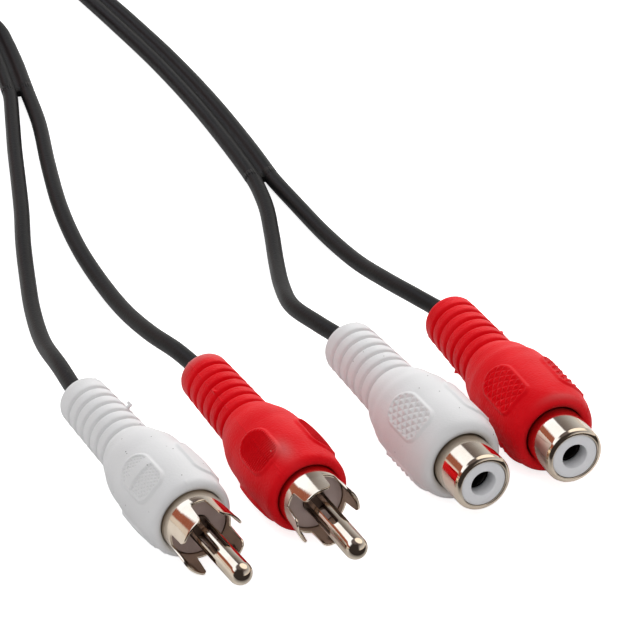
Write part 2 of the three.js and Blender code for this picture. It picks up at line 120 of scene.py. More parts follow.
def room_band(stops):
    """Colours by height above the table, each given with its elevation in degrees."""
    rise = add_node(room, "ShaderNodeMapRange", {0: heading.outputs["Z"], 1: -RAMP_LOW, 2: 1.0})
    ramp = add_node(room, "ShaderNodeValToRGB", {"Fac": rise.outputs[0]})
    line = ramp.color_ramp
    while len(line.elements) < len(stops):
        line.elements.new(0.5)
    for element, (elevation, color) in zip(line.elements, stops):
        element.position = (math.sin(math.radians(elevation)) + RAMP_LOW) / (1 + RAMP_LOW)
        element.color = (*color, 1)
    return ramp.outputs["Color"]


WALL = (0.80, 0.74, 0.69)
WINDOW = (1.3, 1.42, 1.6)
WOOD = (0.37, 0.125, 0.08)
CEILING = (0.15, 0.13, 0.135)
LAMP = (1.3, 1.24, 1.14)
LAMP_WAY = (0.53, 0.09, 0.845)
LAMP_EDGE = (0.84, 0.9)
left_band = room_band([
    (-2, WALL), (10, WALL), (13, WOOD), (26, WOOD), (29, WINDOW), (50, WINDOW), (60, CEILING),
])
right_band = room_band([
    (4, WALL), (15, (0.62, 0.64, 0.66)), (25, (0.47, 0.48, 0.50)), (36, (0.28, 0.26, 0.26)),
    (43, CEILING),
])
front_band = room_band([(-2, UNLIT), (55, UNLIT), (75, CEILING)])
to_right = add_node(room, "ShaderNodeMapRange", {0: heading.outputs["X"], 1: 0.02, 2: 0.06})
to_front = add_node(room, "ShaderNodeMath", {
    0: add_node(room, "ShaderNodeMapRange", {0: heading.outputs["Y"], 1: 0.1, 2: -0.15}).outputs[0],
    1: add_node(room, "ShaderNodeMapRange", {0: heading.outputs["X"], 1: 0.35, 2: 0.05}).outputs[0],
}, operation="MULTIPLY")
behind = add_node(room, "ShaderNodeMix", {
    0: to_right.outputs[0], 6: left_band, 7: right_band,
}, data_type="RGBA")
all_round = add_node(room, "ShaderNodeMix", {
    0: to_front.outputs[0], 6: behind.outputs[2], 7: front_band,
}, data_type="RGBA")
to_lamp = add_node(room, "ShaderNodeVectorMath", {0: way, 1: LAMP_WAY}, operation="DOT_PRODUCT")
lamp_patch = add_node(room, "ShaderNodeMapRange", {
    0: to_lamp.outputs["Value"], 1: LAMP_EDGE[0], 2: LAMP_EDGE[1],
})
with_lamp = add_node(room, "ShaderNodeMix", {
    0: lamp_patch.outputs[0], 6: all_round.outputs[2], 7: (*LAMP, 1),
}, data_type="RGBA")
mirrored_room = add_node(room, "ShaderNodeBackground", {"Color": with_lamp.outputs[2], "Strength": 1.0})
even_light = add_node(room, "ShaderNodeBackground", {"Color": (1, 1, 1, 1), "Strength": 0.42})
backdrop = add_node(room, "ShaderNodeBackground", {"Color": (1, 1, 1, 1), "Strength": 1.0})
ray = add_node(room, "ShaderNodeLightPath").outputs
lit = add_node(room, "ShaderNodeMixShader", {
    0: ray["Is Glossy Ray"], 1: even_light.outputs[0], 2: mirrored_room.outputs[0],
})
shown = add_node(room, "ShaderNodeMixShader", {
    0: ray["Is Camera Ray"], 1: lit.outputs[0], 2: backdrop.outputs[0],
})
add_node(room, "ShaderNodeOutputWorld", {"Surface": shown.outputs[0]})


LAMP_AIM = (0, 0.03, 0)


def soft_lamp(name, place, width, height, power):
    """Lamp aimed at the cable that the plating doesn't mirror; the room's colours stand for it there."""
    lamp = bpy.data.lights.new(name, "AREA")
    lamp.shape = "RECTANGLE"
    lamp.size = width
    lamp.size_y = height
    lamp.energy = power
    holder = bpy.data.objects.new(name, lamp)
    holder.visible_glossy = False
    holder.location = place
    holder.rotation_euler = (Vector(LAMP_AIM) - Vector(place)).to_track_quat("-Z", "Y").to_euler()
    bpy.context.collection.objects.link(holder)


soft_lamp("right_softbox", (0.44, 0.56, 0.36), 0.4, 0.4, 4.4)
soft_lamp("left_softbox", (-0.30, 0.62, 0.42), 0.2, 0.3, 1.0)
soft_lamp("top_softbox", (-0.2, -0.35, 0.75), 0.6, 0.6, 2.0)

camera_data = bpy.data.cameras.new("camera")
camera_data.lens = 171.68
camera_data.sensor_width = 36
camera_data.clip_start = 0.01
camera = bpy.data.objects.new("camera", camera_data)
camera.location = (-0.1554, -0.31495, 0.22394)
aim = Vector((0.01602, 0.0413, 0)) - camera.location
camera.rotation_euler = aim.to_track_quat("-Z", "Y").to_euler()
bpy.context.collection.objects.link(camera)
bpy.context.scene.camera = camera
bpy.context.scene.view_settings.view_transform = "Standard"


# Flat twin cable
# Two stranded conductors, each in a black vinyl jacket, are extruded side by side with a thin web
# between them. It lies flat on the table, and the spare length is wound on edge in two layers.

LEAD_RADIUS = 1.25
LOBE_OFFSET = 1.5


def eased(t, span, first, last, first_slope, last_slope):
    """Smooth cubic from first to last with the slopes at both ends, at share t of the span."""
    return (
        (2 * t**3 - 3 * t**2 + 1) * first + (t**3 - 2 * t**2 + t) * span * first_slope
        + (3 * t**2 - 2 * t**3) * last + (t**3 - t**2) * span * last_slope
    )


def smooth_route(points, step):
    """Even steps along a smooth curve through points; any column after x, y, z goes with them."""
    given = np.array(points, float)
    gaps = np.linalg.norm(np.diff(given[:, :3], axis=0), axis=1)
    knots = np.concatenate([[0], np.cumsum(np.sqrt(gaps))])
    slopes = np.gradient(given, knots, axis=0)
    fine = []
    for i in range(len(given) - 1):
        span = knots[i + 1] - knots[i]
        t = np.linspace(0, 1, 24, endpoint=False)[:, None]
        fine.append(eased(t, span, given[i], given[i + 1], slopes[i], slopes[i + 1]))
    fine = np.concatenate(fine + [given[-1:]])
    run = np.concatenate([[0], np.cumsum(np.linalg.norm(np.diff(fine[:, :3], axis=0), axis=1))])
    even = np.linspace(0, run[-1], max(2, round(run[-1] / step)) + 1)
    return np.stack([np.interp(even, run, column) for column in fine.T], axis=1)


def extruded(name, route, section):
    """Closed mesh of a section drawn along a route of x, y, z and roll, all in millimetres."""
    ahead = np.gradient(route[:, :3], axis=0)
    ahead /= np.linalg.norm(ahead, axis=1)[:, None]
    flat = np.cross(ahead, (0, 0, 1))
    flat /= np.linalg.norm(flat, axis=1)[:, None]
    rise = np.cross(flat, ahead)
    turn = route[:, 3:4]
    across = flat * np.cos(turn) + rise * np.sin(turn)
    up = rise * np.cos(turn) - flat * np.sin(turn)
    rings = (
        route[:, None, :3] + across[:, None] * section[None, :, :1] + up[:, None] * section[None, :, 1:]
    )
    count, sides = rings.shape[:2]
    faces = []
    for i in range(count - 1):
        for k in range(sides):
            near = (i * sides + k, i * sides + (k + 1) % sides)
            faces.append((near[0], near[1], near[1] + sides, near[0] + sides))
    faces.append(tuple(range(sides)))
    faces.append(tuple(range(count * sides - 1, (count - 1) * sides - 1, -1)))
    mesh = bpy.data.meshes.new(name)
    mesh.from_pydata((rings.reshape(-1, 3) * MM).tolist(), [], faces)
    shape = bmesh.new()
    shape.from_mesh(mesh)
    bmesh.ops.recalc_face_normals(shape, faces=shape.faces)
    shape.to_mesh(mesh)
    shape.free()
    mesh.shade_smooth()
    for face in mesh.polygons:
        face.use_smooth = len(face.vertices) == 4
    piece = bpy.data.objects.new(name, mesh)
    bpy.context.collection.objects.link(piece)
    return piece


def vinyl_group():
    """Colour, roughness and fine grain of moulded or extruded vinyl, with a few specks of dirt."""
    group = bpy.data.node_groups.new("vinyl_surface", "ShaderNodeTree")
    for socket, kind, value in (
        ("Color", "NodeSocketColor", (0.8, 0.8, 0.8, 1)),
        ("Highlight", "NodeSocketColor", (0.9, 0.9, 0.9, 1)),
        ("Dirt", "NodeSocketColor", (0.1, 0.09, 0.08, 1)),
        ("Grain", "NodeSocketFloat", 3000.0),
        ("Specks", "NodeSocketFloat", 0.5),
        ("Roughness", "NodeSocketFloat", 0.45),
    ):
        group.interface.new_socket(socket, in_out="INPUT", socket_type=kind).default_value = value
    for socket, kind in (
        ("Color", "NodeSocketColor"), ("Roughness", "NodeSocketFloat"), ("Height", "NodeSocketFloat"),
    ):
        group.interface.new_socket(socket, in_out="OUTPUT", socket_type=kind)
    given = add_node(group, "NodeGroupInput").outputs
    place = add_node(group, "ShaderNodeTexCoord").outputs["Object"]
    cloud = add_node(group, "ShaderNodeTexNoise", {"Vector": place, "Scale": 130.0, "Detail": 3.0})
    tint = add_node(group, "ShaderNodeMapRange", {0: cloud.outputs["Fac"], 1: 0.35, 2: 0.7})
    body = add_node(group, "ShaderNodeMix", {
        0: tint.outputs[0], 6: given["Color"], 7: given["Highlight"],
    }, data_type="RGBA")
    cell = add_node(group, "ShaderNodeTexVoronoi", {"Vector": place, "Scale": 650.0, "Randomness": 1.0})
    small = add_node(group, "ShaderNodeMapRange", {
        0: cell.outputs["Distance"], 1: 0.04, 2: 0.075, 3: 1.0, 4: 0.0,
    })
    pick = add_node(group, "ShaderNodeSeparateColor", {"Color": cell.outputs["Color"]})
    chosen = add_node(group, "ShaderNodeMath", {
        0: pick.outputs["Red"], 1: given["Specks"],
    }, operation="LESS_THAN")
    speck = add_node(group, "ShaderNodeMath", {
        0: small.outputs[0], 1: chosen.outputs[0],
    }, operation="MULTIPLY")
    soiled = add_node(group, "ShaderNodeMix", {
        0: speck.outputs[0], 6: body.outputs[2], 7: given["Dirt"],
    }, data_type="RGBA")
    grain = add_node(group, "ShaderNodeTexNoise", {
        "Vector": place, "Scale": given["Grain"], "Detail": 2.0,
    })
    uneven = add_node(group, "ShaderNodeMath", {
        0: cloud.outputs["Fac"], 1: 0.16, 2: given["Roughness"],
    }, operation="MULTIPLY_ADD")
    add_node(group, "NodeGroupOutput", {
        "Color": soiled.outputs[2], "Roughness": uneven.outputs[0], "Height": grain.outputs["Fac"],
    })
    return group


VINYL = vinyl_group()


def vinyl(
    name, color, highlight, grain, grain_depth, specks, roughness,
    dirt=(0.1, 0.085, 0.08), gloss=0.35, tint=(1, 1, 1), grip=None, dust_and_shade=None,
):
    """Vinyl with its tones, grain in millimetres and specks; grip, dust and painted shade go where the
    mesh says.
    """
    material = bpy.data.materials.new(name)
    tree = nodes_of(material)
    surface = add_node(tree, "ShaderNodeGroup", node_tree=VINYL)
    for socket, value in (
        ("Color", (*color, 1)), ("Highlight", (*highlight, 1)), ("Dirt", (*dirt, 1)),
        ("Grain", grain), ("Specks", specks), ("Roughness", roughness),
    ):
        surface.inputs[socket].default_value = value
    normal = add_node(tree, "ShaderNodeBump", {
        "Strength": 0.6, "Distance": grain_depth * MM, "Height": surface.outputs["Height"],
    })
    tone = surface.outputs["Color"]
    if grip:
        pressed = add_node(tree, "ShaderNodeGroup", node_tree=grip)
        normal = add_node(tree, "ShaderNodeBump", {
            "Strength": 1.0, "Distance": MM, "Height": pressed.outputs["Height"],
            "Normal": normal.outputs["Normal"],
        })
    # Dust, and at the white jack's mouth painted shade, mixed into the colour where the mesh says.
    if dust_and_shade:
        rubbed = add_node(tree, "ShaderNodeAttribute", attribute_name="dust_and_shade").outputs["Fac"]
        dusted_and_shaded = add_node(tree, "ShaderNodeMix", {0: rubbed, 6: tone, 7: (*dust_and_shade, 1)}, data_type="RGBA")
        tone = dusted_and_shaded.outputs[2]
    shader = add_node(tree, "ShaderNodeBsdfPrincipled", {
        "Base Color": tone, "Roughness": surface.outputs["Roughness"],
        "Normal": normal.outputs["Normal"], "Specular IOR Level": gloss, "Specular Tint": (*tint, 1),
    })
    add_node(tree, "ShaderNodeOutputMaterial", {"Surface": shader.outputs[0]})
    return material


black_vinyl = vinyl(
    "black_vinyl", (0.006, 0.006, 0.0062), (0.010, 0.0095, 0.0095), 2600, 0.05, 0.02, 0.33, gloss=0.18,
)

WEB_HALF = 0.5
web_angle = math.asin(WEB_HALF / LEAD_RADIUS)
lobe = np.linspace(-math.pi + web_angle, math.pi - web_angle, 17)
right_lobe = np.stack([LOBE_OFFSET + LEAD_RADIUS * np.cos(lobe), LEAD_RADIUS * np.sin(lobe)], axis=1)
twin_section = np.concatenate([right_lobe, -right_lobe])

COIL_CENTRE = (-1.3, 213.0)
COIL_OUTER = 31.0
COIL_INNER = 21.0
COIL_LAYERS = (3.7, 9.2)
COIL_TURNS = 3.3125
STEPS_A_TURN = 24
LAYER_CHANGE = 4
ON_EDGE = math.pi / 2

jack_side_run = [(26.75, 84.6), (28, 95.3), (29.6, 114.3), (30.3, 133.6), (30.1, 153.1), (29.85, 163.5)]
plug_side_run = [
    (-2.4, 173), (3.6, 169.2), (7, 164), (7.6, 158.4), (6.9, 153.2), (6, 148), (5.05, 142.9),
    (3.9, 137.5), (2.7, 131.9),
]
twin_points = [(x, y, LEAD_RADIUS, 0) for x, y in jack_side_run]
twin_points += [(29.7, 172, 1.6, 0.3), (29.7, 183, 2.5, 0.9), (29.7, 194, 3.4, 1.4)]
twin_points += [(29.7, 204, COIL_LAYERS[0], ON_EDGE)]
coil_steps = round(COIL_TURNS * STEPS_A_TURN)
for layer, height in enumerate(COIL_LAYERS):
    for i in range(coil_steps + 1):
        share = i / coil_steps
        radius = COIL_OUTER + (COIL_INNER - COIL_OUTER) * (share if layer == 0 else 1 - share)
        angle = 2 * math.pi * COIL_TURNS * (layer + share)
        if layer == 1 and i < LAYER_CHANGE:
            continue
        twin_points.append((
            COIL_CENTRE[0] + radius * math.cos(angle), COIL_CENTRE[1] + radius * math.sin(angle),
            height, ON_EDGE,
        ))
twin_points += [(-19.2, 187, 7.7, 1.3), (-14.5, 181.6, 4.5, 0.8), (-8.9, 176.9, 1.9, 0.3)]
twin_points += [(x, y, LEAD_RADIUS, 0) for x, y in plug_side_run]
twin_route = smooth_route(twin_points, 1.7)

twin_cable = extruded("twin_cable", twin_route, twin_section)
twin_cable.data.materials.append(black_vinyl)
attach(twin_cable, "root")
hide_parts("twin_cable_jack_side", "cable_coil", "twin_cable_plug_side")


# Single leads
# Past each split the two halves of the cable are torn apart, and each runs on as a round lead that
# rises from the table into the boot of its connector.

JACKET_END = 21.0
PLACES = {
    "white_plug": (-27.98, 25.14, 6.2, 2.5),
    "red_plug": (-10.24, 24.05, 6.2, 0.0),
    "white_jack": (11.58, 22.87, 6.4, 0.0),
    "red_jack": (28.08, 23.42, 6.4, -3.2),
}
LEAD_RUNS = {
    "white_plug": [
        (-27.2, 36.4, 5.6), (-25.7, 46.8, 3.6), (-22.7, 59.1, 1.9), (-19.1, 71, 1.25), (-15.9, 81, 1.25),
        (-12.4, 90.9, 1.25), (-9, 101.3, 1.25), (-5.5, 112.2, 1.25), (-2, 122.5, 1.25),
        (1.23, 132.2, 1.25), (1.65, 134.16, 1.25),
    ],
    "red_plug": [
        (-10.6, 32.6, 5.8), (-11.1, 41.2, 4.4), (-10.8, 51.6, 2.6), (-10, 62.5, 1.5), (-8.8, 75.4, 1.25),
        (-6.4, 89.3, 1.25), (-2.7, 104.1, 1.25), (1.7, 119.9, 1.25), (4.17, 131.6, 1.25),
        (4.59, 133.56, 1.25),
    ],
    "white_jack": [
        (10.9, 31, 5.8), (10.8, 39.7, 4.4), (13, 48, 2.9), (16.2, 56.9, 1.7), (20.2, 67.4, 1.25),
        (23.2, 76, 1.25), (25.26, 84.77, 1.25), (25.49, 86.76, 1.25),
    ],
    "red_jack": [
        (27.4, 32, 5.8), (26.9, 40.7, 4.4), (26.9, 51, 2.6), (27.3, 63, 1.5), (27.8, 74, 1.25),
        (28.24, 84.43, 1.25), (28.47, 86.42, 1.25),
    ],
}


def axis_point(name, station):
    """Point on a connector's axis, measured along its nose from the end of the boot."""
    x, y, height, turn = PLACES[name]
    angle = math.radians(turn)
    return (x + station * math.sin(angle), y - station * math.cos(angle), height)


around = np.linspace(0, 2 * math.pi, 24, endpoint=False)
lead_section = LEAD_RADIUS * np.stack([np.cos(around), np.sin(around)], axis=1)
for name, run in LEAD_RUNS.items():
    held = [axis_point(name, station) for station in (JACKET_END, 15.2, 7.6, 0, -2)]
    lead_route = smooth_route([(*point, 0) for point in held + run], 1.2)
    lead = extruded(f"{name}_jacket", lead_route, lead_section)
    lead.data.materials.append(black_vinyl)
    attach(lead, "root")
    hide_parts(f"{name}_lead")


# Strap round the coil
# A short band of soft black vinyl with a raised edge on both sides, pulled round the bundle once and
# closed on itself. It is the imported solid, with a finish of its own.

strap_finish = vinyl("strap_vinyl", (0.02, 0.02, 0.021), (0.035, 0.034, 0.034), 1500, 0.08, 0.0, 0.55)


def refinish(node, material):
    """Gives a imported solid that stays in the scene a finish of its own."""
    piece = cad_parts[node]
    piece.data.materials.clear()
    piece.data.materials.append(material)


refinish("coil_tie", strap_finish)


# Wiring inside each connector
# The centre conductor in white polythene and the shield wires, twisted into a tail, run from the
# jacket's end to the solder stem and the solder tab. A shot of clear polythene holds them.

polythene = vinyl("natural_polythene", (0.72, 0.70, 0.62), (0.8, 0.78, 0.7), 900, 0.05, 0.0, 0.5)
core_white = vinyl("core_polythene", (0.84, 0.82, 0.75), (0.88, 0.86, 0.8), 2400, 0.02, 0.0, 0.4)


def plated(name, color, worn, roughness, bare_and_shade=None):
    """Metal with an uneven polish, fine pits and a worn tone; bare metal and painted shade where the
    mesh says so.
    """
    material = bpy.data.materials.new(name)
    tree = nodes_of(material)
    place = add_node(tree, "ShaderNodeTexCoord").outputs["Object"]
    cloud = add_node(tree, "ShaderNodeTexNoise", {"Vector": place, "Scale": 260.0, "Detail": 3.0})
    pits = add_node(tree, "ShaderNodeTexNoise", {"Vector": place, "Scale": 2600.0, "Detail": 2.0})
    rubbed = add_node(tree, "ShaderNodeMapRange", {0: cloud.outputs["Fac"], 1: 0.4, 2: 0.72})
    tone = add_node(tree, "ShaderNodeMix", {
        0: rubbed.outputs[0], 6: (*color, 1), 7: (*worn, 1),
    }, data_type="RGBA")
    polish = add_node(tree, "ShaderNodeMath", {
        0: cloud.outputs["Fac"], 1: 0.10, 2: roughness,
    }, operation="MULTIPLY_ADD")
    bump = add_node(tree, "ShaderNodeBump", {
        "Strength": 0.25, "Distance": 0.01 * MM, "Height": pits.outputs["Fac"],
    })
    # Bare metal inside a hollow, and painted shade near a root, where the mesh says so.
    if bare_and_shade:
        unplated_and_root_shade = add_node(tree, "ShaderNodeAttribute", attribute_name="unplated_and_root_shade").outputs["Fac"]
        tone = add_node(tree, "ShaderNodeMix", {
            0: unplated_and_root_shade, 6: tone.outputs[2], 7: (*bare_and_shade, 1),
        }, data_type="RGBA")
        polish = add_node(tree, "ShaderNodeMath", {
            0: unplated_and_root_shade, 1: 0.4, 2: polish.outputs[0],
        }, operation="MULTIPLY_ADD")
    shader = add_node(tree, "ShaderNodeBsdfPrincipled", {
        "Base Color": tone.outputs[2], "Roughness": polish.outputs[0], "Metallic": 1.0,
        "Normal": bump.outputs[0],
    })
    add_node(tree, "ShaderNodeOutputMaterial", {"Surface": shader.outputs[0]})
    return material


copper = plated("copper", (0.62, 0.26, 0.12), (0.45, 0.16, 0.07), 0.28)
for name in PLACES:
    refinish(f"{name}_inner_mould", polythene)
    refinish(f"{name}_core_wire", core_white)
    refinish(f"{name}_shield_tail", copper)


# Centre pins of the plugs
# Each is rolled from thin brass strip into a hollow pin with six long slots and a closed round tip,
# then nickel plated; the inside stays dull. Towards the root the plating is painted darker: painted
# shade. A stem behind takes the conductor.

NICKEL_TONES = ((0.84, 0.73, 0.60), (0.74, 0.62, 0.49))
nickel = plated("nickel", *NICKEL_TONES, 0.03)
hollow_nickel = plated("hollow_nickel", *NICKEL_TONES, 0.03, bare_and_shade=(0.15, 0.10, 0.078))


def spun(name, outline, steps):
    """Draws a closed outline of [radius, station] point by point and spins it about the axis."""
    bpy.ops.object.select_all(action="DESELECT")
    bpy.ops.mesh.primitive_plane_add(size=MM)
    piece = bpy.context.object
    piece.name = name
    bpy.ops.object.mode_set(mode="EDIT")
    bpy.ops.mesh.select_all(action="SELECT")
    bpy.ops.mesh.merge(type="CENTER")
    bpy.ops.transform.translate(value=(outline[0][0] * MM, 0, outline[0][1] * MM))
    for (r0, s0), (r1, s1) in zip(outline, outline[1:]):
        step = ((r1 - r0) * MM, 0, (s1 - s0) * MM)
        bpy.ops.mesh.extrude_region_move(TRANSFORM_OT_translate={"value": step})
    bpy.ops.mesh.select_all(action="SELECT")
    bpy.ops.mesh.spin(steps=steps, angle=2 * math.pi, center=(0, 0, 0), axis=(0, 0, 1))
    bpy.ops.mesh.select_all(action="SELECT")
    bpy.ops.mesh.remove_doubles(threshold=0.002 * MM)
    bpy.ops.mesh.normals_make_consistent(inside=False)
    bpy.ops.object.mode_set(mode="OBJECT")
    return piece


def arc(radius, station, size, start, end, count):
    """Points of [radius, station] on a quarter or half round, angles in degrees."""
    angles = np.radians(np.linspace(start, end, count))
    return [(radius + size * math.cos(a), station + size * math.sin(a)) for a in angles]


def lay_down(piece, name):
    """Takes a piece from its own axis to its connector on the table."""
    x, y, height, turn = PLACES[name]
    angle = math.radians(turn)
    side = Vector((math.cos(angle), math.sin(angle), 0))
    nose = Vector((math.sin(angle), -math.cos(angle), 0))
    axes = Matrix((side, Vector((0, 0, 1)), nose)).transposed().to_4x4()
    piece.data.transform(Matrix.Translation(Vector((x, y, height)) * MM) @ axes)
    piece.data.update()


def select_only(piece):
    bpy.ops.object.select_all(action="DESELECT")
    piece.select_set(True)
    bpy.context.view_layer.objects.active = piece


def finish_piece(piece, node, material, corner=32):
    """Rounds the shading below the corner angle and puts the piece in its node's place."""
    select_only(piece)
    bpy.ops.object.shade_smooth_by_angle(angle=math.radians(corner))
    piece.data.materials.clear()
    piece.data.materials.append(material)
    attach(piece, "root")
    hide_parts(node)


def apply_modifier(piece, kind, **settings):
    select_only(piece)
    made = piece.modifiers.new(kind.lower(), kind)
    for key, value in settings.items():
        setattr(made, key, value)
    bpy.ops.object.modifier_apply(modifier=made.name)


PIN_RADIUS = 1.6
PIN_END = 49.35
SLOT_SPAN = (36.1, 43.6)
PIN_SLOT_WIDTH = 1.05
SLOT_REAR = SLOT_SPAN[0] + PIN_SLOT_WIDTH / 2
SLOT_COUNT = 6
ROOT_SHADE_TO = 38.4
ROOT_SHADE_FADE = 1.6


def slot_cutter(angle):
    """Cutter with two round ends for one slot, turned to its angle."""
    bpy.ops.object.select_all(action="DESELECT")
    bpy.ops.mesh.primitive_cylinder_add(
        vertices=28, radius=PIN_SLOT_WIDTH / 2 * MM, depth=2 * MM,
        location=(1.8 * MM, 0, SLOT_REAR * MM), rotation=(0, math.pi / 2, 0),
    )
    cutter = bpy.context.object
    bpy.ops.object.transform_apply(location=True, rotation=True, scale=True)
    for vertex in cutter.data.vertices:
        if vertex.co.z > (SLOT_REAR + 0.001) * MM:
            vertex.co.z += (SLOT_SPAN[1] - SLOT_SPAN[0] - PIN_SLOT_WIDTH) * MM
    cutter.data.transform(Matrix.Rotation(math.radians(angle), 4, "Z"))
    return cutter


def cut_away(piece, cutter):
    apply_modifier(piece, "BOOLEAN", operation="DIFFERENCE", object=cutter, solver="EXACT")
    bpy.data.objects.remove(cutter)


pin_outline = [(0, 25), (0.8, 25), (0.9, 25.1), (0.9, 30.1), (1.5, 30.1)]
pin_outline += [(PIN_RADIUS, 30.2), (PIN_RADIUS, 35.66)]
pin_outline += [(PIN_RADIUS, s) for s in (36, 36.5, 37, 37.5, 38, 38.5, 46)]
pin_outline += arc(0, PIN_END - PIN_RADIUS, PIN_RADIUS, 0, 90, 14)
hollow_outline = [(0, 36), (1.2, 36), (1.2, 46.4), (0, 47.4), (0, 36)]
for name, first_slot in (("white_plug", 81), ("red_plug", 115)):
    pin = spun(f"{name}_hollow_pin", pin_outline, 64)
    cut_away(pin, spun("pin_hollow", hollow_outline, 32))
    for k in range(SLOT_COUNT):
        cut_away(pin, slot_cutter(first_slot + 360 // SLOT_COUNT * k))
    unplated_and_root_shade = pin.data.attributes.new("unplated_and_root_shade", "FLOAT", "POINT")
    for vertex in pin.data.vertices:
        inside = math.hypot(vertex.co.x, vertex.co.y) < (PIN_RADIUS - 0.1) * MM and vertex.co.z < 47 * MM
        # Painted shade: towards the root the plating fades to the bare colour.
        root = min(max((ROOT_SHADE_TO - vertex.co.z / MM) / ROOT_SHADE_FADE, 0), 1)
        unplated_and_root_shade.data[vertex.index].value = 1 if inside else 0.85 * root
    lay_down(pin, name)
    finish_piece(pin, f"{name}_pin", hollow_nickel)


# Insulators of the plugs
# Punched discs of hard grey-brown board that hold the pin in the middle of the shell.

board = vinyl("mauve_board", (0.52, 0.39, 0.36), (0.58, 0.45, 0.42), 1800, 0.04, 0.05, 0.42)
disc_outline = [
    (1.66, 31.1), (3.98, 31.1), (4.04, 31.2), (4.04, 35.52), (3.98, 35.6), (1.7, 35.6), (1.66, 35.56),
    (1.66, 31.1),
]
for name in ("white_plug", "red_plug"):
    disc = spun(f"{name}_disc", disc_outline, 72)
    lay_down(disc, name)
    finish_piece(disc, f"{name}_insulator", board)


# Shells of the plugs
# Drawn from thin steel strip and nickel plated: a ring that sits in the body, a folded flange and
# solder tab behind, and four sprung petals in front with rounded tips, opened a little outwards.

SHELL_RADIUS = 4.4
SHELL_WALL = 0.3
PETAL_ROOT = 36.5
PETAL_HALF_ANGLE = 32
PETAL_CORNER = 0.95
PETAL_TAPER = 0.14
PETAL_SPREAD = 0.18
PETAL_MIDDLE = 4.5


def solder_tab(name):
    """Small plate behind the flange, below the axis, that takes the shield wires."""
    bpy.ops.object.select_all(action="DESELECT")
    bpy.ops.mesh.primitive_cube_add(size=MM, location=(0, 2.45 * MM, 28.4 * MM), scale=(1.6, 0.3, 4.6))
    tab = bpy.context.object
    tab.name = name
    bpy.ops.object.transform_apply(location=True, rotation=True, scale=True)
    apply_modifier(tab, "BEVEL", width=0.08 * MM, segments=2)
    tab.data.transform(Matrix.Rotation(math.pi, 4, "Z"))
    return tab


def join(piece, other):
    select_only(piece)
    other.select_set(True)
    bpy.ops.object.join()


def off_petal(place):
    """Angle in degrees and how far it is from the middle of its petal."""
    angle = math.degrees(math.atan2(place.y, place.x))
    return angle, (angle + 45) % 90 - 45


ring_outline = [(2.35, 30.55), (4.1, 30.55), (4.3, 30.62), (SHELL_RADIUS, 30.8)]
ring_outline += [(SHELL_RADIUS, s) for s in np.linspace(31.4, PETAL_ROOT, 7)]
for name, petal_angle, petal_length in (("white_plug", 139.5, 3.9), ("red_plug", 111, 3.4)):
    shell_outline = ring_outline + [
        (SHELL_RADIUS + PETAL_SPREAD * t ** 1.6, PETAL_ROOT + petal_length * t)
        for t in np.linspace(0, 1, 17)[1:]
    ]
    shell = spun(f"{name}_petal_shell", shell_outline, 240)
    shape = bmesh.new()
    shape.from_mesh(shell.data)
    slots = []
    for face in shape.faces:
        middle = face.calc_center_median()
        if middle.z > PETAL_ROOT * MM and abs(off_petal(middle)[1]) > PETAL_HALF_ANGLE:
            slots.append(face)
    bmesh.ops.delete(shape, geom=slots, context="FACES")
    for vertex in shape.verts:
        if vertex.co.z <= PETAL_ROOT * MM:
            continue
        angle, off = off_petal(vertex.co)
        half_width = math.radians(PETAL_HALF_ANGLE) * PETAL_MIDDLE
        edge = abs(math.radians(off)) * PETAL_MIDDLE - (half_width - PETAL_CORNER)
        drop = PETAL_CORNER - math.sqrt(max(PETAL_CORNER**2 - max(edge, 0) ** 2, 0))
        share = (vertex.co.z / MM - PETAL_ROOT) / petal_length
        vertex.co.z -= share * drop * MM
        size = math.hypot(vertex.co.x, vertex.co.y)
        bearing = math.radians(angle - off * PETAL_TAPER * share)
        vertex.co.x = size * math.cos(bearing)
        vertex.co.y = size * math.sin(bearing)
    shape.to_mesh(shell.data)
    shape.free()
    apply_modifier(shell, "SOLIDIFY", thickness=SHELL_WALL * MM, offset=-1, use_even_offset=True)
    apply_modifier(
        shell, "BEVEL", width=0.05 * MM, segments=2, limit_method="ANGLE", angle_limit=math.radians(50),
    )
    shell.data.transform(Matrix.Rotation(math.radians(petal_angle), 4, "Z"))
    join(shell, solder_tab("tab"))
    lay_down(shell, name)
    finish_piece(shell, f"{name}_shell", nickel, corner=40)


# Barrels of the jacks
# Turned brass tubes, nickel plated, with a wider root in the body, a rim rolled inwards at the
# mouth, and the same flange and solder tab behind.

BARREL_RADIUS = 4.15
barrel_outline = [(2.35, 30.4), (4.3, 30.4), (4.42, 30.52), (4.42, 33), (4.42, 33.5), (4.41, 33.65)]
barrel_outline += [(4.36, 33.8), (4.26, 34), (4.19, 34.1), (4.16, 34.18)]
barrel_outline += [(BARREL_RADIUS, s) for s in (34.26, 34.4, 35, 36, 37, 38, 39, 39.9, 40.05)]
barrel_outline += [(4.14, 40.15), (4.11, 40.25), (4.05, 40.37)]
barrel_outline += arc(3.44, 40.14, 0.68, 32, 90, 10)
barrel_outline += [(3.38, 40.8), (3.34, 40.73), (3.33, 40.6), (3.34, 40.1), (3.62, 39.6)]
barrel_outline += [(3.62, 30.85), (2.35, 30.85), (2.35, 30.4)]
for name in ("white_jack", "red_jack"):
    barrel = spun(f"{name}_rolled_barrel", barrel_outline, 160)
    join(barrel, solder_tab("tab"))
    lay_down(barrel, name)
    finish_piece(barrel, f"{name}_barrel", nickel, corner=50)


# Insulators of the jacks
# Moulded in light grey plastic, with a round hole for the pin and a wider pocket behind it.

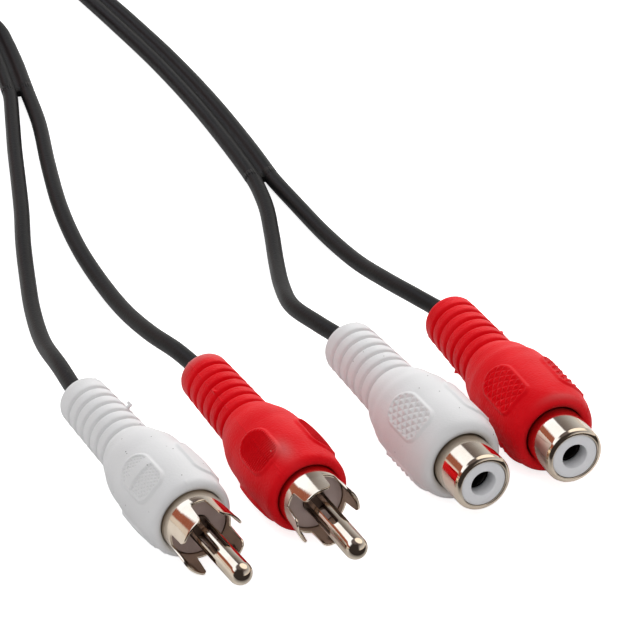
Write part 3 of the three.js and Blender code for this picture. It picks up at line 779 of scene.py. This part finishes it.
grey_plastic = vinyl("grey_insulator", (0.76, 0.755, 0.775), (0.80, 0.80, 0.82), 1400, 0.03, 0.06, 0.35)
core_outline = [
    (1.2, 31.1), (3.3, 31.1), (3.3, 40.5), (3.22, 40.62), (3.1, 40.66), (1.95, 40.66), (1.84, 40.62),
    (1.8, 40.52), (1.8, 38.6), (1.86, 38.5), (2.35, 38.5), (2.35, 33.3), (1.2, 33.3), (1.2, 31.1),
]
for name in ("white_jack", "red_jack"):
    core = spun(f"{name}_core", core_outline, 96)
    lay_down(core, name)
    finish_piece(core, f"{name}_insulator", grey_plastic)


# Spring contacts of the jacks
# Formed tubes of dull plated brass in the pocket, each with a solder stem; only the front edge
# shows, deep in the hole. Their metal is painted near black: painted shade of the hole.

# Painted shade: the contact is coloured near black for the shade deep in the hole.
hole_shade_metal = plated("contact_metal", (0.10, 0.09, 0.08), (0.05, 0.045, 0.04), 0.3)
contact_outline = [
    (0, 25), (0.82, 25), (0.9, 25.1), (0.9, 33.6), (2.0, 33.6), (2.05, 33.7), (2.05, 38.05),
    (1.95, 38.2), (1.72, 38.2), (1.6, 38.0), (1.6, 36.6), (1.45, 36.3), (1.45, 35.7), (1.6, 35.4),
    (1.6, 34.05), (0, 34.05), (0, 25),
]
for name in ("white_jack", "red_jack"):
    contact = spun(f"{name}_spring", contact_outline, 64)
    lay_down(contact, name)
    finish_piece(contact, f"{name}_contact", hole_shade_metal)


# Moulded bodies
# Each connector is finished with one shot of soft vinyl: a ribbed boot round the lead, a flared body
# and four raised pads pressed with pyramids or ridges. The mould leaves a faint parting line and
# small tags of flash, and the vinyl holds a little dust. Low on the left of the white jack's mouth the
# vinyl is painted greyer: painted shade.

RIB_PITCH = 2.36
BOOT_START = 2.6
FLARE_START = 15.2
GROOVE = (
    (-0.3, 0), (-0.06, 0.03), (0.05, 0.1), (0.13, 0.34), (0.24, 0.62), (0.36, 0.68), (0.48, 0.65),
    (0.6, 0.38), (0.69, 0.12), (0.82, 0.03),
)


def even_line(points, step):
    """Closely spaced points on a smooth curve through [station, radius] points, as [radius, station]."""
    given = np.array(points, float)
    slopes = np.gradient(given[:, 1], given[:, 0])
    line = []
    for i in range(len(given) - 1):
        (s0, r0), (s1, r1) = given[i], given[i + 1]
        count = max(1, round((s1 - s0) / step))
        for t in np.arange(count) / count:
            line.append((eased(t, s1 - s0, r0, r1, slopes[i], slopes[i + 1]), s0 + (s1 - s0) * t))
    return line + [(given[-1, 1], given[-1, 0])]


def boot_line(rear, front, tail):
    """Collar with a rounded end, then five ribs between six narrow grooves."""
    line = [(rear - 0.75, tail), (rear - 0.4, tail + 0.1), (rear - 0.14, tail + 0.32)]
    line += [(rear - 0.03, tail + 0.62), (rear, tail + 1.0), (rear, 1.6)]
    for k in range(6):
        start = BOOT_START + k * RIB_PITCH
        size = rear + (front - rear) * (start + 0.4) / FLARE_START
        line += [(size - depth, start + along) for along, depth in GROOVE]
        if k < 5:
            line += [(size + 0.015, start + 1.1), (size + 0.03, start + 1.7)]
    return line


def body_outline(rear, tail, flare, mouth):
    """Closed outline: boot, flare, rounded mouth, then the hollow and the lead's bore."""
    front = flare[0][1]
    plain = [point for point in flare if point[0] <= PADS_FROM]
    padded = [point for point in flare if point[0] >= PADS_FROM]
    line = boot_line(rear, front, tail) + even_line(plain, 0.5)[:-1] + even_line(padded, 0.084) + mouth
    line += [(4.7, 26), (4.7, 19.6), (1.55, 19.6), (1.55, 8), (1.55, tail + 0.25)]
    return line + [(1.75, tail + 0.02), (2.3, tail), line[0]]


PADS_FROM = 22.4
PLUG_FLARE = [
    (FLARE_START, 4.0), (15.7, 4.3), (16.3, 4.58), (17.5, 4.94), (19, 5.44), (20.5, 5.73),
    (PADS_FROM, 5.85), (24, 6.03), (26, 6.15), (28, 6.17), (30, 6.05), (31.5, 5.9), (32.6, 5.82),
]
PLUG_MOUTH = [
    (5.79, 32.95), (5.75, 33.3), (5.66, 33.62), (5.5, 33.9), (5.28, 34.1), (5.05, 34.2), (4.86, 34.22),
    (4.68, 34.16), (4.54, 34.04), (4.47, 33.88), (4.45, 33.6), (4.5, 33.2), (4.5, 32.5), (4.6, 31),
]
JACK_FLARE = [
    (FLARE_START, 4.34), (15.7, 4.6), (16.2, 4.86), (17.5, 5.38), (18.9, 5.66), (19.6, 5.86),
    (20.4, 6.12), (21.2, 6.21), (PADS_FROM, 6.27), (24, 6.4), (26, 6.41), (30, 6.41), (31.5, 6.34),
    (32.6, 6.2),
]
JACK_MOUTH = [
    (6.12, 33.1), (6.03, 33.6), (5.9, 34.05), (5.7, 34.45), (5.45, 34.77), (5.2, 34.95), (4.98, 35.03),
    (4.74, 34.98), (4.53, 34.86), (4.36, 34.7), (4.25, 34.5), (4.3, 34.36), (4.53, 34.1), (4.53, 32.5),
    (4.6, 31),
]

PAD_WIDTH = 5.36
PAD_RADIUS = 6.2
PAD_RISE = 0.27
BAR_WIDTH = 1.7
COARSE_PITCH, COARSE_FLOOR, COARSE_RISE, COARSE_BUMP = 0.95, -0.26, 0.3, 0.2
FINE_PITCH, FINE_FLOOR, FINE_RISE, FINE_BUMP = 0.53, -0.24, 0.09, 0.12
RIDGE_PITCH, RIDGE_FLOOR, RIDGE_RISE, RIDGE_BUMP = 0.42, -0.19, 0.2, 0.32
SEAM_HEIGHT = 0.08
SEAM_WIDTH = 0.1


def soft_step(value, low, high):
    t = np.clip((value - low) / (high - low), 0, 1)
    return t * t * (3 - 2 * t)


def pyramids(u, v, pitch):
    """Rows of small four-sided pyramids set cornerwise, from 0 in the grooves to 1 on the tips."""
    a = np.abs(((u + v) / pitch / math.sqrt(2)) % 1 - 0.5) * 2
    b = np.abs(((u - v) / pitch / math.sqrt(2)) % 1 - 0.5) * 2
    return 1 - np.maximum(a, b)


def bearing_from(angle, middle, radius):
    """Distance round the body from an angle in degrees, in millimetres."""
    return np.radians((angle - middle + 180) % 360 - 180) * radius


def press_details(piece, pads, grips, seams, tags, dust_and_shade_spots):
    """Moves the surface for the pads, grips, parting lines and flash, and notes grips, dust and painted
    shade on it.
    """
    mesh = piece.data
    flat = np.empty(len(mesh.vertices) * 3)
    mesh.vertices.foreach_get("co", flat)
    place = flat.reshape(-1, 3) / MM
    radius = np.hypot(place[:, 0], place[:, 1])
    angle = np.degrees(np.arctan2(place[:, 1], place[:, 0])) % 360
    station = place[:, 2]
    start, end, front_corner = pads
    half = PAD_WIDTH / 2
    middle = start + half
    u = np.radians(angle % 90 - 45) * PAD_RADIUS
    v = station - (start + end) / 2
    round_corner = np.where(station < middle, half, front_corner)
    qx = np.abs(u) - half + round_corner
    qy = np.abs(v) - (end - start) / 2 + round_corner
    beyond = np.hypot(np.maximum(qx, 0), np.maximum(qy, 0))
    edge = np.minimum(np.maximum(qx, qy), 0) + beyond - round_corner
    outer = (radius > 5.3) & (station > 20) & (station < 33.2)
    inside = np.where(outer, soft_step(-edge, 0.4, 0.6), 0)
    move = np.where(outer, PAD_RISE * soft_step(-edge, -0.2, 0.32), 0)
    kinds = np.zeros((len(u), 3))
    for quarter, grip in enumerate(grips):
        pressed = inside * (angle // 90 == quarter)
        if grip == "coarse":
            move += pressed * (COARSE_FLOOR + COARSE_RISE * pyramids(u, v, COARSE_PITCH))
            kinds[:, 0] += pressed
        elif grip == "fine":
            bar = soft_step(BAR_WIDTH / 2 - np.abs(v + 0.7), -0.1, 0.1)
            knurl = FINE_FLOOR + FINE_RISE * pyramids(u, v, FINE_PITCH)
            move += pressed * (0.05 * bar + knurl * (1 - bar))
            kinds[:, 1] += pressed * (1 - bar)
        elif grip == "ridged":
            ridge = 1 - np.abs((v / RIDGE_PITCH) % 1 - 0.5) * 2
            centre_line = 0.08 * np.exp(-((u / 0.12) ** 2))
            move += pressed * (RIDGE_FLOOR + RIDGE_RISE * ridge - centre_line)
            kinds[:, 2] += pressed
        else:
            move -= pressed * 0.05
    skin = (radius > 3.0) & (station > -0.4) & ((station < 15.3) | (radius > 4.95))
    for seam in seams:
        off = bearing_from(angle, seam, radius)
        move += np.where(skin, SEAM_HEIGHT * np.exp(-((off / SEAM_WIDTH) ** 2)), 0)
    for tag_station, tag_angle, height, length in tags:
        off = bearing_from(angle, tag_angle, radius)
        near = np.exp(-(((station - tag_station) / length) ** 2) - ((off / 0.18) ** 2))
        move += np.where(skin, height * near, 0)
    scale = 1 + move / np.maximum(radius, 1)
    place[:, 0] *= scale
    place[:, 1] *= scale
    mesh.vertices.foreach_set("co", (place * MM).ravel())
    # Spots of dust, and one spot of painted shade low on the left of the white jack's mouth.
    worn = np.zeros(len(u))
    for spot_station, spot_angle, length, width, strength in dust_and_shade_spots:
        off = bearing_from(angle, spot_angle, radius)
        worn += strength * np.exp(-(((station - spot_station) / length) ** 2) - ((off / width) ** 2))
    for name, vectors in (("grip_place", np.stack([u, v, 0 * u], axis=1)), ("grip_kind", kinds)):
        mesh.attributes.new(name, "FLOAT_VECTOR", "POINT").data.foreach_set("vector", vectors.ravel())
    mesh.attributes.new("dust_and_shade", "FLOAT", "POINT").data.foreach_set("value", np.clip(worn, 0, 1))
    mesh.update()


def grip_group():
    """Height in millimetres that sharpens the grips, where the mesh says each is pressed."""
    group = bpy.data.node_groups.new("grip_pattern", "ShaderNodeTree")
    group.interface.new_socket("Height", in_out="OUTPUT", socket_type="NodeSocketFloat")
    place = add_node(group, "ShaderNodeAttribute", attribute_name="grip_place")
    kind = add_node(group, "ShaderNodeAttribute", attribute_name="grip_kind")
    u, v = add_node(group, "ShaderNodeSeparateXYZ", {"Vector": place.outputs["Vector"]}).outputs[:2]
    masks = add_node(group, "ShaderNodeSeparateXYZ", {"Vector": kind.outputs["Vector"]}).outputs

    def math_node(operation, first, second):
        return add_node(group, "ShaderNodeMath", {0: first, 1: second}, operation=operation).outputs[0]

    def pyramid(pitch):
        ways = []
        for operation in ("ADD", "SUBTRACT"):
            along = math_node("DIVIDE", math_node(operation, u, v), pitch * math.sqrt(2))
            ways.append(math_node("PINGPONG", math_node("ADD", along, 0.5), 0.5))
        return math_node("SUBTRACT", 0.5, math_node("MAXIMUM", ways[0], ways[1]))

    ridge = math_node("PINGPONG", math_node("DIVIDE", v, RIDGE_PITCH), 0.5)
    total = math_node("MULTIPLY", math_node("MULTIPLY", pyramid(COARSE_PITCH), COARSE_BUMP), masks[0])
    for pattern, depth, mask in (
        (pyramid(FINE_PITCH), FINE_BUMP, masks[1]), (ridge, RIDGE_BUMP, masks[2]),
    ):
        one = math_node("MULTIPLY", math_node("MULTIPLY", pattern, depth), mask)
        total = math_node("ADD", total, one)
    add_node(group, "NodeGroupOutput", {"Height": total})
    return group


grip_pattern = grip_group()
white_vinyl = vinyl(
    "white_vinyl", (0.74, 0.735, 0.74), (0.78, 0.775, 0.78), 3000, 0.05, 0.7, 0.42,
    grip=grip_pattern, dust_and_shade=(0.45, 0.44, 0.44),
)
red_vinyl = vinyl(
    "red_vinyl", (0.71, 0.002, 0.007), (0.80, 0.012, 0.018), 3000, 0.13, 0.12, 0.40,
    dirt=(0.8, 0.3, 0.28), gloss=0.25, tint=(1, 0.12, 0.14), grip=grip_pattern, dust_and_shade=(0.62, 0.33, 0.32),
)
plug_line = body_outline(3.65, -0.5, PLUG_FLARE, PLUG_MOUTH)
jack_line = body_outline(3.93, 0, JACK_FLARE, JACK_MOUTH)

# Pads have a start, an end and a front corner, and one grip for each quarter; seams are angles. A tag
# has a station, an angle, a height and a length; spots of dust and of painted shade each have a
# station, an angle, a length, a width and a strength.
BODIES = (
    (
        "white_plug", plug_line, (23.1, 31.5, 1.9), ("plain", "fine", "plain", "plain"), (48, 228),
        [(0.2, 60, 0.16, 0.2), (33.5, 95, 0.08, 0.3)],
        [(0, 75, 0.5, 2, 0.4)], white_vinyl, "white_vinyl",
    ),
    (
        "red_plug", plug_line, (23.1, 31.2, 2.1), ("ridged", "ridged", "ridged", "ridged"), (131, 311),
        [(9.3, 129, 0.45, 0.3), (33.6, 136, 0.1, 0.3)],
        [(-0.3, 100, 0.9, 5, 0.65), (30.4, 110, 2.2, 1.1, 0.28)], red_vinyl, "red_vinyl",
    ),
    (
        "white_jack", jack_line, (22.9, 31.7, 1.9), ("plain", "coarse", "coarse", "plain"), (30, 210),
        [(7.5, 30, 0.14, 0.3), (0.4, 72, 0.14, 0.2)],
        # The spot at the mouth, low on the left, is painted shade, not dust.
        [(34.6, 215, 0.8, 2, 0.25)], white_vinyl, "white_vinyl",
    ),
    (
        "red_jack", jack_line, (22.9, 31.7, 1.4), ("coarse", "coarse", "coarse", "coarse"), (29, 209),
        [(10.0, 209, 0.6, 0.18), (10.7, 211, 0.5, 0.22), (10.8, 40, 0.25, 0.3)],
        [(34.2, 80, 0.5, 3, 0.2)], red_vinyl, "red_vinyl",
    ),
)
FLASH_STEM = ((3.85, 9.1), (1.5, 0.36, 0.5))
FLASH_HEAD = ((4.5, 8.95), (0.4, 0.34, 1.0))
FLASH_ANGLE = 50


def flash_block(block):
    """Block of a given size on the boot, where the flash of the white plug stands up."""
    (radius, station), size = block
    bpy.ops.mesh.primitive_cube_add(size=MM, location=(radius * MM, 0, station * MM), scale=size)
    piece = bpy.context.object
    select_only(piece)
    bpy.ops.object.transform_apply(location=True, rotation=True, scale=True)
    piece.data.transform(Matrix.Rotation(math.radians(FLASH_ANGLE), 4, "Z"))
    return piece


for name, line, pads, grips, seams, tags, dust_and_shade_spots, material, slot in BODIES:
    body = spun(f"{name}_moulding", line, 384)
    press_details(body, pads, grips, seams, tags, dust_and_shade_spots)
    if name == "white_plug":
        flash = flash_block(FLASH_STEM)
        join(flash, flash_block(FLASH_HEAD))
        apply_modifier(flash, "BEVEL", width=0.05 * MM, segments=2)
        join(body, flash)
    lay_down(body, name)
    finish_piece(body, f"{name}_body", material, corner=60)
